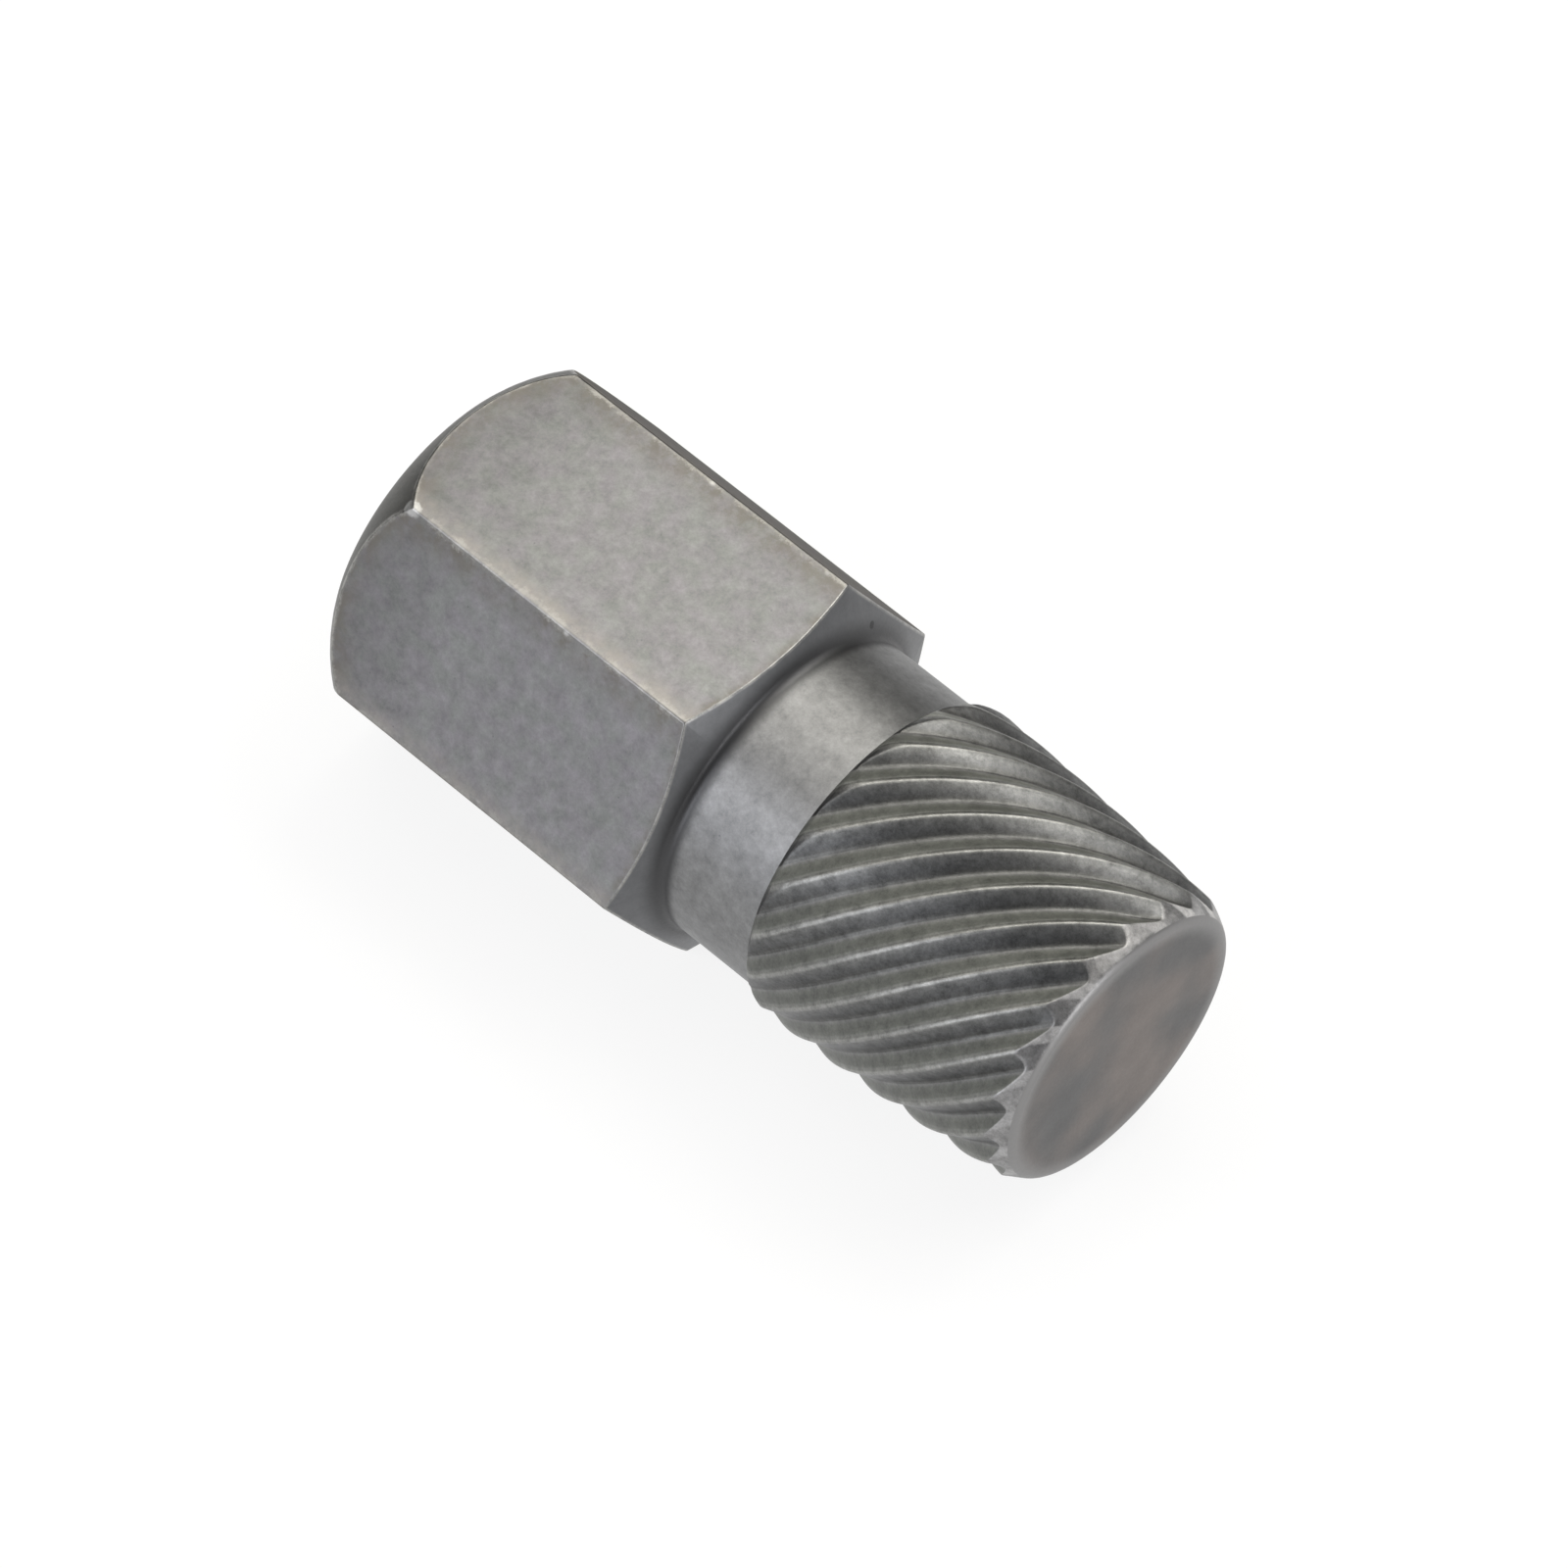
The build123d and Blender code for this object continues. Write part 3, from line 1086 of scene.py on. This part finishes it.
def ridge_steel(looks, shape):
    """The ridges: bright rubbed crests, dark flanks and olive grooves, partly painted shade, with
    painted light on the far side.
    """
    steel = SteelSurface("ridge_steel", looks)
    x, y, z = steel.parts(steel.point)
    place = steel.effect("ridge_places", steel.point)["Place"]
    # Tones across each ridge: partly the steel's dark skin, partly painted shade in the grooves.
    wobble = steel.line(steel.mottle(0.5, 0.6, (6.0, 3.0, 9.0)), 0.04, -0.02)
    tones = steel.node("ShaderNodeValToRGB", {"Fac": steel.math("ADD", place, wobble)})
    stops = tones.color_ramp.elements
    while len(stops) < len(RIDGE_TONES):
        stops.new(0.5)
    for stop, (position, tone) in zip(stops, RIDGE_TONES):
        stop.position = position
        stop.color = (*tone, 1)
    # The tip chamfer cut through the dark skin, so it is bright.
    slope = tan(shape.tip_chamfer_angle)
    chamfer = steel.line(x, -slope, (shape.tip_face_radius + shape.overall_length * slope) / MM)
    cut = steel.ramp(steel.math("SUBTRACT", chamfer, steel.off_axis(y, z)), 0.04, 0.01)
    color = steel.blend(cut, tones.outputs["Color"], looks.rim_tint)
    color = steel.shade(color, steel.swing(steel.mottle(0.55, 0.9), 2.0))
    # Painted light: the far side, towards +Y, is made brighter between the crests.
    off_crest = steel.ramp(steel.math("ABSOLUTE", steel.math("SUBTRACT", place, 0.5)), 0.07, 0.16)
    painted_far_side_light = steel.times(steel.ramp(y, 0.6, 2.6), off_crest)
    color = steel.shade(color, steel.line(painted_far_side_light, 0.4, 1.0))
    # The flanks that face the drive end keep their dull skin, which the rest has lost.
    dull = steel.times(steel.ramp(place, 0.0, 0.03), steel.ramp(place, 0.43, 0.36))
    steel.wire(steel.line(dull, -DULL_SHARE, 1.0), steel.shader.inputs["Metallic"])
    return steel.finish(color, depth=RIDGE_GRAIN_DEPTH)


# How far each finish reaches
FLAT_LEAN = 0.02             # the normal of a flat leans along the tool by less than this
FLAT_DEPTH = 0.05 * MM       # faces less than this inside the flats belong to them
TURNED_OVERLAP = 0.1 * MM    # the turned finish goes this far past the shoulder
TIP_DEPTH = 0.12 * MM        # the tip's finish goes this far back from the tip face


def dress_extractor(tool, looks, shape):
    """Gives each surface of the tool its finish."""
    mottle_group()
    speck_group()
    wear_and_crease_shade_group(shape)
    ridge_place_group(shape)

    def along(face):
        return face.calc_center_median().x

    def on_flat(face):
        outside = off_axis(face.calc_center_median()) > shape.across_flats / 2 - FLAT_DEPTH
        return abs(face.normal.x) < FLAT_LEAN and along(face) < shape.hex_length and outside

    def on_turned_end(face):
        return abs(face.normal.x) >= FLAT_LEAN and along(face) < shape.hex_length + TURNED_OVERLAP

    def on_ridges(face):
        return along(face) > shape.ridge_start and not on_tip(face)

    def on_tip(face):
        return along(face) > shape.overall_length - TIP_DEPTH

    tool.data.materials.clear()
    zones = (
        (neck_steel(looks), None),
        (flat_steel(looks), on_flat),
        (turned_steel(looks, shape), on_turned_end),
        (ridge_steel(looks, shape), on_ridges),
        (tip_steel(looks, shape), on_tip),
    )
    for number, (material, wanted) in enumerate(zones):
        tool.data.materials.append(material)
        if wanted is None:
            continue
        open_mesh(tool, "FACE")
        pick(tool, "faces", wanted)
        tool.active_material_index = number
        bpy.ops.object.material_slot_assign()
        close_mesh()


# The studio

# Softboxes: name, azimuth and elevation in degrees of where they stand, strength, colour
SOFTBOXES = (
    ("front", 0, 12, 0.24, (0.93, 0.95, 1.0)),
    ("front_high", 0, 35, 0.10, (0.96, 0.97, 1.0)),
    ("front_left", 327, 32, 0.22, (0.95, 0.96, 1.0)),
    ("right", 90, 12, 0.30, (0.99, 0.99, 1.0)),
    ("right_high", 68, 58, 0.04, (0.99, 0.99, 1.0)),
    ("back_right", 144, 35, 0.14, (1.0, 0.99, 0.97)),
    ("back_right_high", 135, 58, 0.17, (1.0, 0.98, 0.94)),
    ("back", 180, 58, 0.36, (1.0, 0.98, 0.91)),
    ("back_left", 225, 58, 0.13, (1.0, 0.97, 0.90)),
    ("left_high", 270, 58, 0.09, (1.0, 0.98, 0.93)),
    ("left_top", 315, 58, 0.075, (1.0, 0.98, 0.95)),
    ("overhead", 270, 78, 0.11, (1.0, 0.98, 0.92)),
)
SOFTBOX_SIZE = 0.20
SOFTBOX_DISTANCE = 0.35
WORLD_COLOR = (0.8, 0.8, 0.8, 1)
WORLD_STRENGTH = 0.02

SENSOR_WIDTH = 36
CAMERA_AIM = (14.331 * MM, 0, 0)
CAMERA_SHIFT = (0.00168, -0.0012)
CAMERA_CLIP = (0.01, 10)


def floor_material(studio):
    """Plain pale floor, white to the camera and to reflections but for the tool's faint shadow."""
    material = bpy.data.materials.new("pale_floor")
    material.use_nodes = True
    material.node_tree.nodes.clear()
    sheet = NodeSheet(material.node_tree)
    paint = sheet.node("ShaderNodeBsdfDiffuse", {"Color": (*studio.floor_color, 1)}).outputs[0]
    white = sheet.node("ShaderNodeEmission", {"Color": (1, 1, 1, 1), "Strength": 1.0}).outputs[0]
    path = sheet.node("ShaderNodeLightPath").outputs
    reflected = sheet.math("MAXIMUM", path["Is Glossy Ray"], path["Is Transmission Ray"])
    seen = sheet.math("MAXIMUM", path["Is Camera Ray"], reflected)
    share = sheet.times(seen, 1 - studio.shadow_strength)
    mix = sheet.node("ShaderNodeMixShader", {0: share, 1: paint, 2: white}).outputs[0]
    sheet.node("ShaderNodeOutputMaterial", {"Surface": mix})
    return material


def direction(azimuth, elevation):
    """Unit vector from the tool towards a place in the studio."""
    return Vector((sin(azimuth) * cos(elevation), -cos(azimuth) * cos(elevation), sin(elevation)))


def stand(name, data, aim, towards, distance, roll=0.0):
    """Stands a lamp or camera off from a point, facing it."""
    obj = bpy.data.objects.new(name, data)
    bpy.context.scene.collection.objects.link(obj)
    upright = (-towards).to_track_quat("-Z", "Y").to_matrix().to_4x4()
    place = Matrix.Translation(aim + towards * distance)
    obj.matrix_world = place @ upright @ Matrix.Rotation(roll, 4, "Z")
    return obj


def set_camera(studio):
    """The camera, looking along the photograph's line of sight."""
    data = bpy.data.cameras.new("camera")
    data.lens = studio.camera_lens
    data.sensor_width = SENSOR_WIDTH
    data.sensor_fit = "HORIZONTAL"
    data.shift_x, data.shift_y = CAMERA_SHIFT
    data.clip_start, data.clip_end = CAMERA_CLIP
    back = direction(studio.camera_azimuth, studio.camera_elevation)
    bpy.context.scene.camera = stand(
        "camera", data, Vector(CAMERA_AIM), back, studio.camera_distance, studio.camera_roll)


def set_softboxes():
    """Soft round lamps, all at the same distance from the tool."""
    middle = (cad_low + cad_high) / 2
    for name, azimuth, elevation, strength, color in SOFTBOXES:
        data = bpy.data.lights.new(name, "AREA")
        data.shape = "DISK"
        data.size = SOFTBOX_SIZE
        data.color = color
        data.energy = strength * 4 * pi * SOFTBOX_DISTANCE ** 2
        stand(name, data, middle, direction(radians(azimuth), radians(elevation)), SOFTBOX_DISTANCE)


def set_world():
    """Even grey surroundings."""
    world = bpy.data.worlds.new("studio")
    world.use_nodes = True
    background = world.node_tree.nodes["Background"]
    background.inputs["Color"].default_value = WORLD_COLOR
    background.inputs["Strength"].default_value = WORLD_STRENGTH
    bpy.context.scene.world = world


# Operators, one for the tool and one for the stage

class EXTRACTOR_OT_tool(bpy.types.Operator):
    """Models the screw extractor and gives each surface its finish"""
    bl_idname = "extractor.tool"
    bl_label = "Extractor"

    def execute(self, context):
        shape = context.scene.extractor_shape
        tool = model_extractor(shape)
        dress_extractor(tool, context.scene.extractor_finish, shape)
        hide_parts("extractor_body")
        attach(tool, "root")
        return {"FINISHED"}


class EXTRACTOR_OT_stage(bpy.types.Operator):
    """Sets the floor, the lamps and the camera"""
    bl_idname = "extractor.stage"
    bl_label = "Studio"

    def execute(self, context):
        studio = context.scene.extractor_studio
        select_only()
        bpy.ops.mesh.primitive_plane_add(size=studio.floor_size, location=(0, 0, cad_low.z))
        floor = context.object
        floor.name = "floor"
        floor.data.materials.append(floor_material(studio))
        set_softboxes()
        set_world()
        set_camera(studio)
        context.scene.view_settings.view_transform = "Standard"
        return {"FINISHED"}


class EXTRACTOR_PT_panel(bpy.types.Panel):
    """Lists the steps in the order they run"""
    bl_label = "Screw Extractor"
    bl_idname = "EXTRACTOR_PT_panel"
    bl_space_type = "VIEW_3D"
    bl_region_type = "UI"
    bl_category = "Extractor"

    def draw(self, context):
        for step in (EXTRACTOR_OT_tool, EXTRACTOR_OT_stage):
            self.layout.operator(step.bl_idname)


GROUPS = {
    "extractor_shape": ExtractorShape,
    "extractor_finish": SteelFinish,
    "extractor_studio": StudioSettings,
}
CLASSES = (*GROUPS.values(), EXTRACTOR_OT_tool, EXTRACTOR_OT_stage, EXTRACTOR_PT_panel)


def register():
    for one in CLASSES:
        bpy.utils.register_class(one)
    for name, group in GROUPS.items():
        setattr(bpy.types.Scene, name, PointerProperty(type=group))


def unregister():
    for name in GROUPS:
        delattr(bpy.types.Scene, name)
    for one in reversed(CLASSES):
        bpy.utils.unregister_class(one)


def main():
    register()
    bpy.ops.extractor.tool()
    bpy.ops.extractor.stage()


if __name__ == "__main__":
    main()
